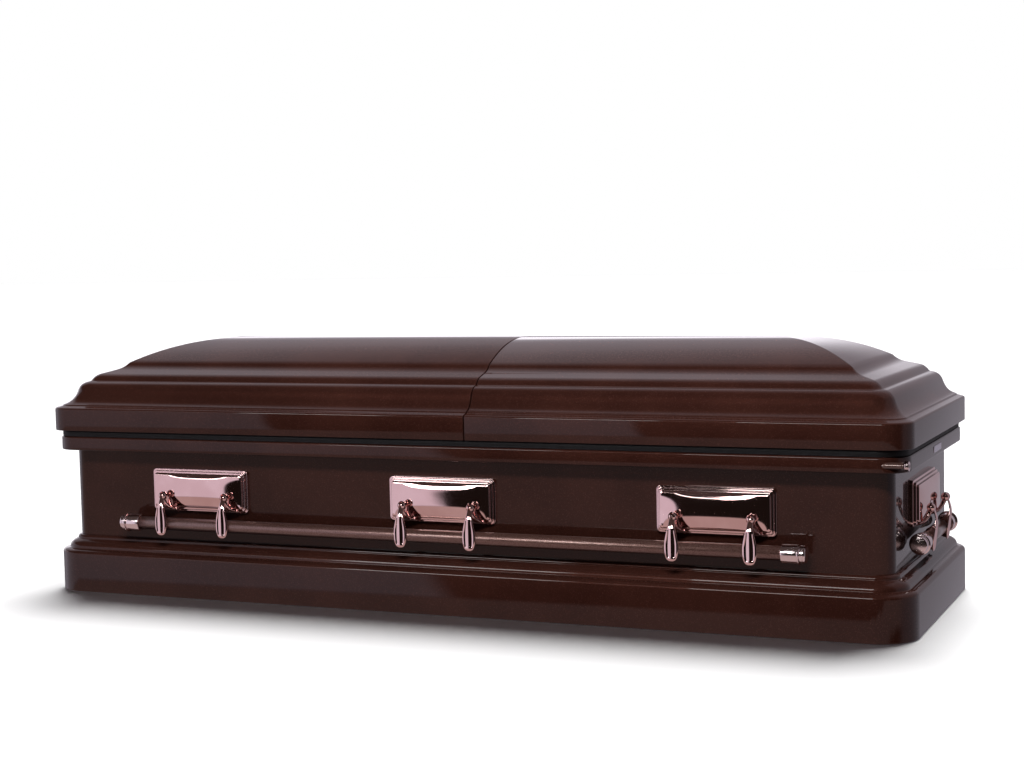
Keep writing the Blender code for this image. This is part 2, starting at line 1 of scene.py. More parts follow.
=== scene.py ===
"""Half-couch metal casket in metallic brown with rose copper swing-bar handles, in a pale studio."""
import json
import math

import bmesh
import bpy
from mathutils import Matrix, Vector

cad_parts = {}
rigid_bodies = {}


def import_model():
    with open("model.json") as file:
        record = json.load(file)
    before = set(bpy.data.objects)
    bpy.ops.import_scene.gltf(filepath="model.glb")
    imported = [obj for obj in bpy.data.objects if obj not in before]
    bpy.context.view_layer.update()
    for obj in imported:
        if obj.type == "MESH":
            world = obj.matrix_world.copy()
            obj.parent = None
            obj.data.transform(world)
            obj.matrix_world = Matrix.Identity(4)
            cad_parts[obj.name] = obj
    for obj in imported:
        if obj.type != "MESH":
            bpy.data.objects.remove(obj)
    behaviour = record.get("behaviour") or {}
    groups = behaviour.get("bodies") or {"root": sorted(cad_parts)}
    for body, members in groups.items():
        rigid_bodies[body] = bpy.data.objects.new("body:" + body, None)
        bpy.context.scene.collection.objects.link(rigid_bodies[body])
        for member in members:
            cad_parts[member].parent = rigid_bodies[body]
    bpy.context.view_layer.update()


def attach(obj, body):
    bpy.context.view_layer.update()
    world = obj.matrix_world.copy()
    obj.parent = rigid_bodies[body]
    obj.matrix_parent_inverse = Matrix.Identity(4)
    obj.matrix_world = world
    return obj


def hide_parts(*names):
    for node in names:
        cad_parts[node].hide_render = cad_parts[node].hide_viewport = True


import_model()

# Base moulding: one steel sheet pressed into a skirt, a rounded step and a small bead.
# It is turned in under the floor, where the casket stands on it, and sprayed brown with the body.
SHEET = 0.0015
BODY_X, BODY_Y, BODY_CORNER = 1.0226, 0.3180, 0.038
CORNER_STEPS = 12
FOOT_IN, FOOT_OUT, FOOT_CORNER = 0.0026, 0.0436, 0.082
SKIRT_OUT, SKIRT_TOP, SKIRT_CORNER = 0.0476, 0.0925, 0.086
STEP_OUT, STEP_Z, STEP_CORNER = 0.0305, 0.1045, 0.070
BEAD_OUT, BEAD_Z, BEAD_CORNER = 0.0100, 0.1262, 0.050
LIP_OUT, LIP_Z = 0.0003, 0.1365
PAINT_DEEP, PAINT_PLAIN = (0.023, 0.0072, 0.0050, 1), (0.030, 0.0098, 0.0068, 1)
PAINT_FLAKE = (0.100, 0.042, 0.034, 1)


class Value:
    """A shader socket in plain expressions: each operation on it adds its node."""

    def __init__(self, tree, socket):
        self.tree, self.socket = tree, socket

    def node(self, kind, settings=(), output=0, **inputs):
        """Any other node, from its type, its settings and its inputs; n0 is the first input."""
        made = self.tree.nodes.new(kind)
        for key, value in dict(settings).items():
            if key == "stops":
                ramp = made.color_ramp
                while len(ramp.elements) < len(value):
                    ramp.elements.new(0.5)
                for stop, (place, colour) in zip(ramp.elements, value):
                    stop.position = place
                    stop.color = (*colour, 1)
            else:
                setattr(made, key, value)
        for key, value in inputs.items():
            name = key.replace("_", " ").strip()
            numbered = name[0] == "n" and name[1:].isdigit()
            slot = made.inputs[int(name[1:]) if numbered else name]
            if isinstance(value, Value):
                self.tree.links.new(value.socket, slot)
            else:
                slot.default_value = value
        return Value(self.tree, made.outputs[output])

    def maths(self, operation, first, second):
        return self.node("ShaderNodeMath", {"operation": operation}, n0=first, n1=second)

    def __add__(self, other):
        return self.maths("ADD", self, other)

    def __radd__(self, other):
        return self.maths("ADD", other, self)

    def __sub__(self, other):
        return self.maths("SUBTRACT", self, other)

    def __rsub__(self, other):
        return self.maths("SUBTRACT", other, self)

    def __mul__(self, other):
        return self.maths("MULTIPLY", self, other)

    def step(self, low, high):
        """0 below low and 1 above high, smooth between them."""
        return self.node("ShaderNodeMapRange", {"interpolation_type": "SMOOTHSTEP"},
                         Value=self, From_Min=low, From_Max=high)

    def mix(self, low, high):
        """Low where this is 0 and high where it is 1, both colours."""
        return self.node("ShaderNodeMix", {"data_type": "RGBA"}, output=2, n0=self, n6=low, n7=high)


def finish_named(name, **fixed):
    """A material, its shader and its object coordinates; fixed are the shader's plain settings."""
    material = bpy.data.materials.new(name)
    material.use_nodes = True
    tree = material.node_tree
    shader = tree.nodes["Principled BSDF"]
    for key, value in fixed.items():
        shader.inputs[key.replace("_", " ")].default_value = value
    coordinates = tree.nodes.new("ShaderNodeTexCoord")
    return material, shader, Value(tree, coordinates.outputs["Object"])


def feed(place, shader, **inputs):
    for key, value in inputs.items():
        place.tree.links.new(value.socket, shader.inputs[key.replace("_", " ")])


paint, shader, place = finish_named("Brown metallic lacquer", Metallic=0.40, Specular_IOR_Level=0.0,
                                    Coat_Weight=1.0, Coat_Roughness=0.03, Coat_IOR=1.36)
cloud = place.node("ShaderNodeTexNoise", Vector=place, Scale=5.0, Detail=3.0)
flake = place.node("ShaderNodeTexVoronoi", {"feature": "F1"}, output=1, Vector=place, Scale=700.0)
spark = flake.node("ShaderNodeSeparateColor", Color=flake).step(0.82, 0.98)
grain = place.node("ShaderNodeTexNoise", Vector=place, Scale=420.0, Detail=2.0)
base = cloud.step(0.35, 0.65).mix(PAINT_DEEP, PAINT_PLAIN)
feed(place, shader, Base_Color=(spark * 0.25).mix(base, PAINT_FLAKE), Roughness=0.34 + grain * 0.12)


def begin(name):
    """An empty mesh of that name at the origin, in edit mode, with all else deselected."""
    bpy.ops.object.select_all(action="DESELECT")
    bpy.ops.mesh.primitive_plane_add(size=1)
    piece = bpy.context.object
    piece.name = piece.data.name = name
    bpy.ops.object.mode_set(mode="EDIT")
    bpy.ops.mesh.select_mode(type="VERT")
    bpy.ops.mesh.delete(type="VERT")
    return piece


def pick(piece, wanted):
    """Selects exactly the vertices that pass the test, and what lies between them."""
    mesh = bmesh.from_edit_mesh(piece.data)
    for face in mesh.faces:
        face.select = False
    for edge in mesh.edges:
        edge.select = False
    for vert in mesh.verts:
        vert.select = wanted(vert)
    mesh.select_flush(True)
    bmesh.update_edit_mesh(piece.data)


def picked(piece):
    mesh = bmesh.from_edit_mesh(piece.data)
    mesh.verts.index_update()
    return {vert.index for vert in mesh.verts if vert.select}


def bridge(piece, rings, closed=False, capped=False):
    """Joins rings of vertices in turn with faces; closed joins the last to the first too."""
    for low, high in list(zip(rings, rings[1:])) + ([(rings[-1], rings[0])] if closed else []):
        pick(piece, lambda vert: vert.index in low or vert.index in high)
        bpy.ops.mesh.bridge_edge_loops()
    for end in (rings[0], rings[-1]) if capped else ():
        pick(piece, lambda vert: vert.index in end)
        bpy.ops.mesh.edge_face_add()


def outline_rings(piece, half_x, half_y, stations, steps):
    """Rounded rectangles as wires. A station is (out from the wall, height, corner radius)."""
    rings = []
    for out, z, corner in stations:
        bpy.ops.mesh.select_all(action="DESELECT")
        bpy.ops.mesh.primitive_plane_add(size=2, location=(0, 0, z))
        bpy.ops.transform.resize(value=(half_x + out, half_y + out, 1), center_override=(0, 0, z))
        bpy.ops.mesh.bevel(offset=corner, segments=steps, affect="VERTICES")
        rings.append(picked(piece))
        bpy.ops.mesh.delete(type="ONLY_FACE")
    return rings


def curve_to(stations, out, z, corner, leave, arrive, steps):
    """Adds stations on a smooth curve with those headings in degrees, 0 outward and 90 up."""
    start = stations[-1]
    reach = math.dist(start[:2], (out, z)) * 0.38
    a, b = math.radians(leave), math.radians(arrive)
    knots = [Vector(start[:2]), Vector(start[:2]) + reach * Vector((math.cos(a), math.sin(a))),
             Vector((out, z)) - reach * Vector((math.cos(b), math.sin(b))), Vector((out, z))]
    for i in range(1, steps + 1):
        t = i / steps
        w = ((1 - t) ** 3, 3 * t * (1 - t) ** 2, 3 * t * t * (1 - t), t ** 3)
        p = sum((k * s for k, s in zip(knots, w)), Vector((0, 0)))
        stations.append((p.x, p.y, start[2] + (corner - start[2]) * t))


def give_sheet(piece):
    wall = piece.modifiers.new("Sheet", "SOLIDIFY")
    wall.thickness = SHEET
    wall.offset = -1
    wall.use_even_offset = True


def close_up(piece, angle):
    """Merges doubles, turns faces outward, leaves edit mode and applies the modifiers."""
    bpy.ops.mesh.select_all(action="SELECT")
    bpy.ops.mesh.remove_doubles(threshold=1e-6)
    bpy.ops.mesh.normals_make_consistent(inside=False)
    bpy.ops.object.mode_set(mode="OBJECT")
    for modifier in list(piece.modifiers):
        bpy.ops.object.modifier_apply(modifier=modifier.name)
    bpy.ops.object.shade_smooth_by_angle(angle=math.radians(angle))


def assign(piece, finish, body, stands_for):
    piece.data.materials.clear()
    piece.data.materials.append(finish)
    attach(piece, body)
    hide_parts(*stands_for)


moulding = begin("base_moulding_pressed")
line = [(FOOT_IN, 0.0, FOOT_CORNER / 2), (FOOT_OUT, 0.0, FOOT_CORNER)]
curve_to(line, SKIRT_OUT, 0.004, SKIRT_CORNER, 0, 90, 5)
line.append((SKIRT_OUT, SKIRT_TOP, SKIRT_CORNER))
curve_to(line, STEP_OUT + 0.0060, STEP_Z - 0.0010, STEP_CORNER + 0.005, 90, 172, 8)
line.append((STEP_OUT, STEP_Z, STEP_CORNER))
curve_to(line, STEP_OUT - 0.0013, STEP_Z + 0.0017, STEP_CORNER - 0.001, 170, 92, 3)
curve_to(line, BEAD_OUT, BEAD_Z, BEAD_CORNER, 92, 160, 9)
curve_to(line, BEAD_OUT - 0.0007, BEAD_Z + 0.0016, BEAD_CORNER - 0.002, 150, 90, 2)
curve_to(line, LIP_OUT + 0.0015, LIP_Z, BODY_CORNER + 0.002, 85, 175, 7)
line.append((LIP_OUT, LIP_Z, BODY_CORNER + LIP_OUT))
bridge(moulding, outline_rings(moulding, BODY_X, BODY_Y, line, CORNER_STEPS))
give_sheet(moulding)
close_up(moulding, 50)
assign(moulding, paint, "casket", ["base_moulding"])

# Body: a floor and four walls of welded sheet, with a band at the top that steps out,
# rises and turns in again as the ledge that the lid closes on.
LEDGE_OUT, LEDGE_CORNER, LEDGE_LOW, LEDGE_HIGH = 0.0348, 0.0605, 0.3516, 0.3850
LEDGE_ROUND, LEDGE_FALL = 0.0045, 0.0003
OPENING_OUT, OPENING_CORNER = -0.0012, 0.0245
FLOOR = 0.0018
shell = begin("body_welded")
line = [(-0.004, FLOOR, 0.034)]
curve_to(line, 0, FLOOR + 0.004, BODY_CORNER, 0, 90, 3)
line.append((0, LEDGE_LOW - 0.0015, BODY_CORNER))
curve_to(line, 0.0015, LEDGE_LOW, 0.039, 90, 0, 3)
line.append((LEDGE_OUT - 0.003, LEDGE_LOW, LEDGE_CORNER - 0.003))
curve_to(line, LEDGE_OUT, LEDGE_LOW + 0.003, LEDGE_CORNER, 0, 90, 4)
line.append((LEDGE_OUT, LEDGE_HIGH - LEDGE_ROUND, LEDGE_CORNER))
curve_to(line, LEDGE_OUT - LEDGE_ROUND, LEDGE_HIGH, LEDGE_CORNER - LEDGE_ROUND, 90, 180, 6)
# The ledge falls a little inward, because rings at one height can be bridged across the opening.
line.append((OPENING_OUT, LEDGE_HIGH - LEDGE_FALL, OPENING_CORNER))
rings = outline_rings(shell, BODY_X, BODY_Y, line, CORNER_STEPS)
bridge(shell, rings)
pick(shell, lambda vert: vert.index in rings[0])
bpy.ops.mesh.edge_face_add()
give_sheet(shell)
close_up(shell, 50)
assign(shell, paint, "casket", ["body_shell"])

# Seal: an extruded rubber strip stuck to the ledge all round, under the edge of the lid.
# Its outer face leans in towards the top and carries a faint bloom.
SEAL_IN, SEAL_IN_CORNER, SEAL_OUT, SEAL_CORNER = 0.0168, 0.0425, 0.0318, 0.0575
SEAL_LOW, SEAL_TOP = 0.3853, 0.4001
RUBBER_DARK, RUBBER_BLOOM = (0.004, 0.004, 0.005, 1), (0.009, 0.009, 0.011, 1)
rubber, shader, place = finish_named("Black seal rubber", Specular_IOR_Level=0.2)
bloom = place.node("ShaderNodeTexNoise", Vector=place, Scale=60.0, Detail=4.0)
feed(place, shader, Base_Color=bloom.step(0.4, 0.75).mix(RUBBER_DARK, RUBBER_BLOOM),
     Roughness=0.45 + bloom * 0.2)
seal = begin("seal_strip")
line = [(SEAL_IN, SEAL_LOW, SEAL_IN_CORNER), (SEAL_OUT - 0.0013, SEAL_LOW, SEAL_CORNER - 0.0013)]
curve_to(line, SEAL_OUT, SEAL_LOW + 0.0013, SEAL_CORNER, 20, 90, 3)
line.append((SEAL_OUT, 0.3935, SEAL_CORNER))
curve_to(line, SEAL_OUT - 0.0032, SEAL_TOP, SEAL_CORNER - 0.0032, 90, 170, 5)
line.append((SEAL_IN, SEAL_TOP, SEAL_IN_CORNER))
bridge(seal, outline_rings(seal, BODY_X, BODY_Y, line, CORNER_STEPS), closed=True)
close_up(seal, 50)
assign(seal, rubber, "casket", ["gasket"])

# Lid: a pressed and welded cover with a deep rim, a stepped cornice and a domed top
# with crisp hips. It is cut across once, and each half is closed by a wall at the cut.
RIM_X, RIM_Y, RIM_LOW, RIDGE = 1.0668, 0.3622, 0.4004, 0.6142
RIM_CORNER, RIM_ROUND, RIM_TOP = 0.0585, 0.0015, 0.4520
SPLIT, SPLIT_GAP, SPLIT_ROUND = 0.076, 0.003, 0.0012
CREASE, CREASE_Z = 0.1490, 0.5605
CROWN_STEPS, CROWN_GATHER, CROWN_POWER, HIP_CORNER = 22, 1.15, 2.2, 0.0030
LIDS = (("head", -1), ("foot", 1))
cover = begin("lid_pressed")
line = [(-0.030, RIM_LOW, RIM_CORNER - 0.030), (-RIM_ROUND, RIM_LOW, RIM_CORNER - RIM_ROUND)]
curve_to(line, 0, RIM_LOW + RIM_ROUND, RIM_CORNER, 0, 90, 3)
line.append((0, RIM_TOP, RIM_CORNER))
curve_to(line, -0.0050, 0.4573, 0.0555, 90, 165, 6)
line.append((-0.0150, 0.4604, 0.0500))
curve_to(line, -0.0170, 0.4618, 0.0490, 140, 100, 2)
curve_to(line, -0.0195, 0.4640, 0.0480, 100, 165, 3)
curve_to(line, -0.0450, 0.4955, 0.0440, 158, 108, 10)
curve_to(line, -0.0660, 0.5172, 0.0320, 108, 165, 9)
line.append((-0.0720, 0.5184, 0.0270))
line.append((-0.0745, 0.5195, 0.0250))
curve_to(line, -0.0965, 0.5365, 0.0170, 122, 166, 8)
line.append((-0.1210, 0.5430, 0.0090))
curve_to(line, -CREASE, CREASE_Z, 0.0032, 164, 130, 7)
for i in range(1, CROWN_STEPS + 1):
    left = (1 - i / (CROWN_STEPS + 0.2)) ** CROWN_GATHER
    out = -(RIM_Y - (RIM_Y - CREASE) * left)
    z = RIDGE - (RIDGE - CREASE_Z) * left ** CROWN_POWER
    line.append((out, z, min(HIP_CORNER, (RIM_Y + out) * 0.5)))
rings = outline_rings(cover, RIM_X, RIM_Y, line, 8)
bridge(cover, rings)
pick(cover, lambda vert: vert.index in rings[-1])
bpy.ops.mesh.edge_face_add()
bpy.ops.mesh.select_all(action="SELECT")
bpy.ops.mesh.normals_make_consistent(inside=False)
bpy.ops.object.mode_set(mode="OBJECT")


def copy_of(pattern, name):
    bpy.ops.object.select_all(action="DESELECT")
    pattern.select_set(True)
    bpy.context.view_layer.objects.active = pattern
    bpy.ops.object.duplicate()
    piece = bpy.context.object
    piece.name = piece.data.name = name
    return piece


for name, side in LIDS:
    half = copy_of(cover, name + "_lid_pressed")
    face = SPLIT + side * SPLIT_GAP / 2
    bpy.ops.object.mode_set(mode="EDIT")
    bpy.ops.mesh.select_all(action="SELECT")
    bpy.ops.mesh.bisect(plane_co=(face, 0, 0), plane_no=(side, 0, 0), clear_inner=True)
    pick(half, lambda vert: abs(vert.co.x - face) < 1e-5)
    bpy.ops.mesh.edge_face_add()
    bpy.ops.mesh.bevel(offset=SPLIT_ROUND, segments=3, affect="EDGES")
    give_sheet(half)
    close_up(half, 40)
    assign(half, paint, name + "_lid", [name + "_lid"])
bpy.data.objects.remove(cover)

# Hinges: four butt hinges of zinc-plated steel on the back of the ledge, two to each half lid.
# The fixed leaf carries the pin and two barrels, the lid's leaf one, and each has three screws.
HINGE_Y, HINGE_Z, BARREL, PIN, LEAF_HALF = 0.3576, 0.3940, 0.0045, 0.0020, 0.0380
BARREL_END, BARREL_CHAMFER, PIN_PLAY = LEAF_HALF / 3, 0.0005, 0.0003
FIXED_BACK, FIXED_FACE, FIXED_LOW, FIXED_HIGH, FIXED_SCREWS = 0.3531, 0.3551, 0.3640, 0.3875, 0.3755
LIFT_BACK, LIFT_FACE, LIFT_LOW, LIFT_HIGH, LIFT_SCREWS = 0.3625, 0.3645, 0.4024, 0.4304, 0.4170
SCREW_SPACING, SCREW_HEAD, SCREW_FLATNESS = 0.026, 0.0040, 0.3
OUTER_HINGE, INNER_HINGE = 0.8668, 0.20
STEEL_DARK, STEEL_LIGHT = (0.42, 0.43, 0.45, 1), (0.62, 0.62, 0.60, 1)
steel, shader, place = finish_named("Zinc-plated hinge steel", Metallic=1.0)
spangle = place.node("ShaderNodeTexNoise", Vector=place, Scale=240.0, Detail=4.0)
feed(place, shader, Base_Color=spangle.step(0.3, 0.7).mix(STEEL_DARK, STEEL_LIGHT),
     Roughness=0.28 + spangle * 0.2)


def shape(piece, move):
    """Puts each selected vertex where the rule sends it."""
    mesh = bmesh.from_edit_mesh(piece.data)
    for vert in mesh.verts:
        if vert.select:
            vert.co = move(vert.co)
    bmesh.update_edit_mesh(piece.data)


def block(piece, outline, low_x, high_x, rounding):
    """A block with a (y, z) outline, laid on a ring's points, extruded along X and bevelled."""
    bpy.ops.mesh.select_all(action="DESELECT")
    bpy.ops.mesh.primitive_circle_add(vertices=len(outline), radius=0.01, fill_type="NGON")
    corners = iter(outline)
    shape(piece, lambda co: Vector((low_x, *next(corners))))
    bpy.ops.mesh.extrude_region_move(TRANSFORM_OT_translate={"value": (high_x - low_x, 0, 0)})
    bpy.ops.mesh.select_linked()
    bpy.ops.mesh.normals_make_consistent(inside=False)
    bpy.ops.mesh.bevel(offset=rounding, segments=2, affect="EDGES")
    bpy.ops.mesh.select_linked()


def turned(piece, profile, sides, y, z, bored=False):
    """A round piece along X from (x, radius) pairs; a bored one closes on itself."""
    rings = []
    for x, radius in profile:
        bpy.ops.mesh.select_all(action="DESELECT")
        bpy.ops.mesh.primitive_circle_add(vertices=sides, radius=radius, location=(x, y, z),
                                          rotation=(0, math.pi / 2, 0))
        rings.append(picked(piece))
    bridge(piece, rings, closed=bored, capped=not bored)
    bpy.ops.mesh.select_linked()
    bpy.ops.mesh.normals_make_consistent(inside=False)


def barrel(piece, low, high, bored):
    edge = BARREL - BARREL_CHAMFER
    ends = [(low, edge), (low + BARREL_CHAMFER, BARREL), (high - BARREL_CHAMFER, BARREL), (high, edge)]
    hole = [(high, PIN + PIN_PLAY), (low, PIN + PIN_PLAY)] if bored else []
    turned(piece, ends + hole, 24, HINGE_Y, HINGE_Z, bored)


def screws(piece, y, z):
    for x in (-SCREW_SPACING, 0, SCREW_SPACING):
        bpy.ops.mesh.select_all(action="DESELECT")
        bpy.ops.mesh.primitive_uv_sphere_add(segments=16, ring_count=8, radius=SCREW_HEAD, location=(x, y, z))
        bpy.ops.transform.resize(value=(1, SCREW_FLATNESS, 1), center_override=(x, y, z))


fixed_leaf = begin("fixed_leaf_pattern")
block(fixed_leaf, [(FIXED_BACK, FIXED_LOW), (FIXED_FACE, FIXED_LOW), (FIXED_FACE, FIXED_HIGH),
                   (FIXED_BACK, FIXED_HIGH)], -LEAF_HALF, LEAF_HALF, 0.0004)
back, face, low_z, high_z = FIXED_BACK + 0.0001, FIXED_FACE - 0.0001, FIXED_HIGH - 0.0010, HINGE_Z - 0.0005
for low, high in ((-LEAF_HALF, -BARREL_END), (BARREL_END, LEAF_HALF)):
    block(fixed_leaf, [(back, low_z), (face, low_z), (face, high_z), (back, high_z)], low, high, 0.0003)
    barrel(fixed_leaf, low, high, False)
turned(fixed_leaf, [(-LEAF_HALF + 0.001, PIN), (LEAF_HALF - 0.001, PIN)], 16, HINGE_Y, HINGE_Z)
screws(fixed_leaf, FIXED_FACE, FIXED_SCREWS)
close_up(fixed_leaf, 35)

lid_leaf = begin("lid_leaf_pattern")
low, high = -BARREL_END + PIN_PLAY, BARREL_END - PIN_PLAY
block(lid_leaf, [(LIFT_BACK, LIFT_LOW), (LIFT_FACE, LIFT_LOW), (LIFT_FACE, LIFT_HIGH),
                 (LIFT_BACK, LIFT_HIGH)], -LEAF_HALF, LEAF_HALF, 0.0004)
root, root_top, neck_top = HINGE_Y + 0.0028, 0.4001, LIFT_LOW + 0.0020
block(lid_leaf, [(root, HINGE_Z), (HINGE_Y + BARREL, HINGE_Z), (LIFT_FACE, 0.3990), (LIFT_FACE, neck_top),
                 (LIFT_BACK, neck_top), (LIFT_BACK, root_top), (root, root_top)], low, high, 0.0003)
barrel(lid_leaf, low, high, True)
screws(lid_leaf, LIFT_FACE, LIFT_SCREWS)
close_up(lid_leaf, 35)

for name, side in LIDS:
    leaves = (fixed_leaf, "fixed_leaf", "casket"), (lid_leaf, "lid_leaf", name + "_lid")
    for place_name, x in (("outer", side * OUTER_HINGE), ("inner", SPLIT + side * INNER_HINGE)):
        label = f"{name}_{place_name}_hinge"
        for pattern, leaf, body in leaves:
            piece = copy_of(pattern, f"{label}_{leaf}_plated")
            piece.data.transform(Matrix.Translation((x, 0, 0)))
            assign(piece, steel, body, [f"{label}_{leaf}"])
bpy.data.objects.remove(fixed_leaf)
bpy.data.objects.remove(lid_leaf)

# Ear plates: zinc castings, polished and plated in rose copper, bright as a mirror.
# A border in two rounded steps frames a pillowed face, and two flared lugs carry the arms.
EAR_X, EAR_Y, EAR_Z = 0.133, 0.051, 0.2590
EAR_SPACING, END_HANG = 0.647, 6.5
BORDER, TREAD_1, TREAD_2 = 0.0140, 0.0050, 0.0100
PILLOW_X, PILLOW_Y, PILLOW_FOOT, PILLOW_RISE, PILLOW_POWER = EAR_X - BORDER, EAR_Y - BORDER, 0.0188, 0.0055, 3
COLUMNS, ROWS = 16, 9
KNUCKLE_OUT, KNUCKLE_Z, KNUCKLE_X = 0.037, 0.2480, 0.086
EYE, EYE_HALF, EYE_BORE, EYE_CHAMFER = 0.0060, 0.0025, 0.0023, 0.0005
COPPER_DEEP, COPPER_PLAIN = (0.76, 0.52, 0.50, 1), (0.84, 0.60, 0.58, 1)
copper, shader, place = finish_named("Polished rose copper", Metallic=1.0)
tone = place.node("ShaderNodeTexNoise", Vector=place, Scale=14.0, Detail=2.0)
marks = place.node("ShaderNodeTexNoise", Vector=place, Scale=160.0, Detail=3.0)
feed(place, shader, Base_Color=tone.step(0.3, 0.7).mix(COPPER_DEEP, COPPER_PLAIN),
     Roughness=0.035 + marks * 0.04)

ear = begin("ear_pattern")
line = [(0, 0.0003, 0.010), (0, 0.0050, 0.010)]
curve_to(line, -0.0012, 0.0062, 0.0085, 90, 178, 4)
line += [(-0.0014, 0.00621, 0.0084), (-0.0042, 0.0063, 0.0080)]
curve_to(line, -TREAD_1, 0.0071, 0.0075, 178, 90, 2)
line.append((-TREAD_1, 0.0112, 0.0075))
curve_to(line, -0.0062, 0.0124, 0.0065, 90, 178, 4)
line += [(-0.0064, 0.01241, 0.0064), (-0.0092, 0.0125, 0.0060)]
curve_to(line, -TREAD_2, 0.0133, 0.0055, 178, 90, 2)
line.append((-0.0103, 0.0160, 0.0052))
curve_to(line, -BORDER, PILLOW_FOOT, 0.0050, 88, 155, 6)
bridge(ear, outline_rings(ear, EAR_X, EAR_Y, line, 6), capped=True)
along = [PILLOW_X * math.sin(k * math.pi / (2 * COLUMNS)) for k in range(1 - COLUMNS, COLUMNS)]
upward = [PILLOW_Y * math.sin(k * math.pi / (2 * ROWS)) for k in range(1 - ROWS, ROWS)]
cuts = [((x, 0, 0), (1, 0, 0)) for x in along] + [((0, y, 0), (0, 1, 0)) for y in upward]
for spot, normal in cuts:
    bpy.ops.mesh.select_all(action="SELECT")
    bpy.ops.mesh.bisect(plane_co=spot, plane_no=normal)
pick(ear, lambda vert: abs(vert.co.z - PILLOW_FOOT) < 1e-6)


def pillow(co):
    """Raises a point of the flat face towards the middle, and leaves its edge where it is."""
    u, v = min(abs(co.x) / PILLOW_X, 1), min(abs(co.y) / PILLOW_Y, 1)
    return co + Vector((0, 0, PILLOW_RISE * (1 - u ** PILLOW_POWER) * (1 - v ** PILLOW_POWER)))


shape(ear, pillow)
bpy.ops.mesh.select_all(action="SELECT")
shape(ear, lambda co: Vector((co.x, -co.z, EAR_Z + co.y)))
bpy.ops.mesh.normals_make_consistent(inside=False)
# A lug's rings: out from the wall, height, half width, half thickness and lean in degrees.
HORN = ((0.0090, 0.2118, 0.0270, 0.0036, 70), (0.0135, 0.2130, 0.0205, 0.0038, 66),
        (0.0190, 0.2160, 0.0135, 0.0040, 54), (0.0245, 0.2212, 0.0085, 0.0042, 40),
        (0.0295, 0.2290, 0.0052, 0.0047, 29), (0.0335, 0.2375, 0.0027, 0.0051, 22),
        (0.0360, 0.2445, EYE_HALF, 0.0056, 16))
for side in (-1, 1):
    rings = []
    for out, z, half_x, half_y, lean in HORN:
        bpy.ops.mesh.select_all(action="DESELECT")
        bpy.ops.mesh.primitive_circle_add(vertices=20, radius=1)
        lay = (Matrix.Translation((side * KNUCKLE_X, -out, z)) @ Matrix.Rotation(math.radians(lean), 4, "X")
               @ Matrix.Diagonal((half_x, half_y, 1, 1)))
        shape(ear, lambda co: lay @ co)
        rings.append(picked(ear))
    bridge(ear, rings, capped=True)
    bpy.ops.mesh.select_linked()
    bpy.ops.mesh.normals_make_consistent(inside=False)
    ends = [(side * KNUCKLE_X + x, r) for x, r in (
        (-EYE_HALF, EYE - EYE_CHAMFER), (-EYE_HALF + EYE_CHAMFER, EYE), (EYE_HALF - EYE_CHAMFER, EYE),
        (EYE_HALF, EYE - EYE_CHAMFER), (EYE_HALF, EYE_BORE), (-EYE_HALF, EYE_BORE))]
    turned(ear, ends, 24, -KNUCKLE_OUT, KNUCKLE_Z, bored=True)
close_up(ear, 38)

# Each side's turn, wall, ears along it and the angle its handle hangs in by.
THREE = (-EAR_SPACING, 0, EAR_SPACING)
SIDES = (("front", 0, BODY_Y, THREE, 0), ("back", math.pi, BODY_Y, THREE, 0),
         ("foot_end", math.pi / 2, BODY_X, (0,), END_HANG),
         ("head_end", -math.pi / 2, BODY_X, (0,), END_HANG))


def hang_copies(pattern, x, ending, body, node, finish, sides=SIDES, places=None):
    """Copies of a piece modelled at the middle of the front wall, put at x from each place on each side.
    With no body named they belong to the side's handle, which hangs in by its angle at the knuckle."""
    knuckle = Matrix.Translation((0, -KNUCKLE_OUT, KNUCKLE_Z))
    for side, turn, wall, middles, hanging in sides:
        hung = knuckle @ Matrix.Rotation(math.radians(0 if body else hanging), 4, "X") @ knuckle.inverted()
        for i, middle in enumerate(places or middles, 1):
            label = f"{side}_{i}" if len(places or middles) > 1 else side
            piece = copy_of(pattern, f"{label}_{ending}")
            put = Matrix.Rotation(turn, 4, "Z") @ Matrix.Translation((middle + x, -wall, 0))
            piece.data.transform(put @ hung)
            assign(piece, finish, body or side + "_handle", [f"{label}_{node}"])


hang_copies(ear, 0, "ear_plate", "casket", "ear", copper)
bpy.data.objects.remove(ear)

# Swing arms: copper-plated castings, two at each ear, that hang from pins through the lugs' eyes.
# A slotted ball runs into a drop with a raised outline and a ribbed leaf, and a claw holds the bar.
BALL, SLOT_HALF = 0.0105, 0.0028
ARM_TOP, ARM_LOW, LOBE = 0.2459, 0.1536, 0.66
NECK_HALF, LOBE_SWELL, LOBE_END = 0.0060, 0.0095, 0.25
DROP_OUT, DROP_BOW, BOW_SHARE = 0.0405, 0.0103, 0.36
RIM_RISE, FACE_ROUND, LEAF_DEPTH, LEAF_RIB = 0.0013, 0.0025, 0.0016, 0.0017
BAR, BAR_OUT, BAR_Z = 0.0155, 0.0350, 0.1792
GRIP_PLAY, GRIP_FROM, GRIP_STEP, GRIP_POINTS, CLAW_HALF, STUB_HALF = 0.0003, 105, 14.6, 15, 0.0048, 0.0038


def ease(x, low, high):
    """0 below low and 1 above high, smooth between them, in plain numbers."""
    t = min(max((x - low) / (high - low), 0), 1)
    return t * t * (3 - 2 * t)


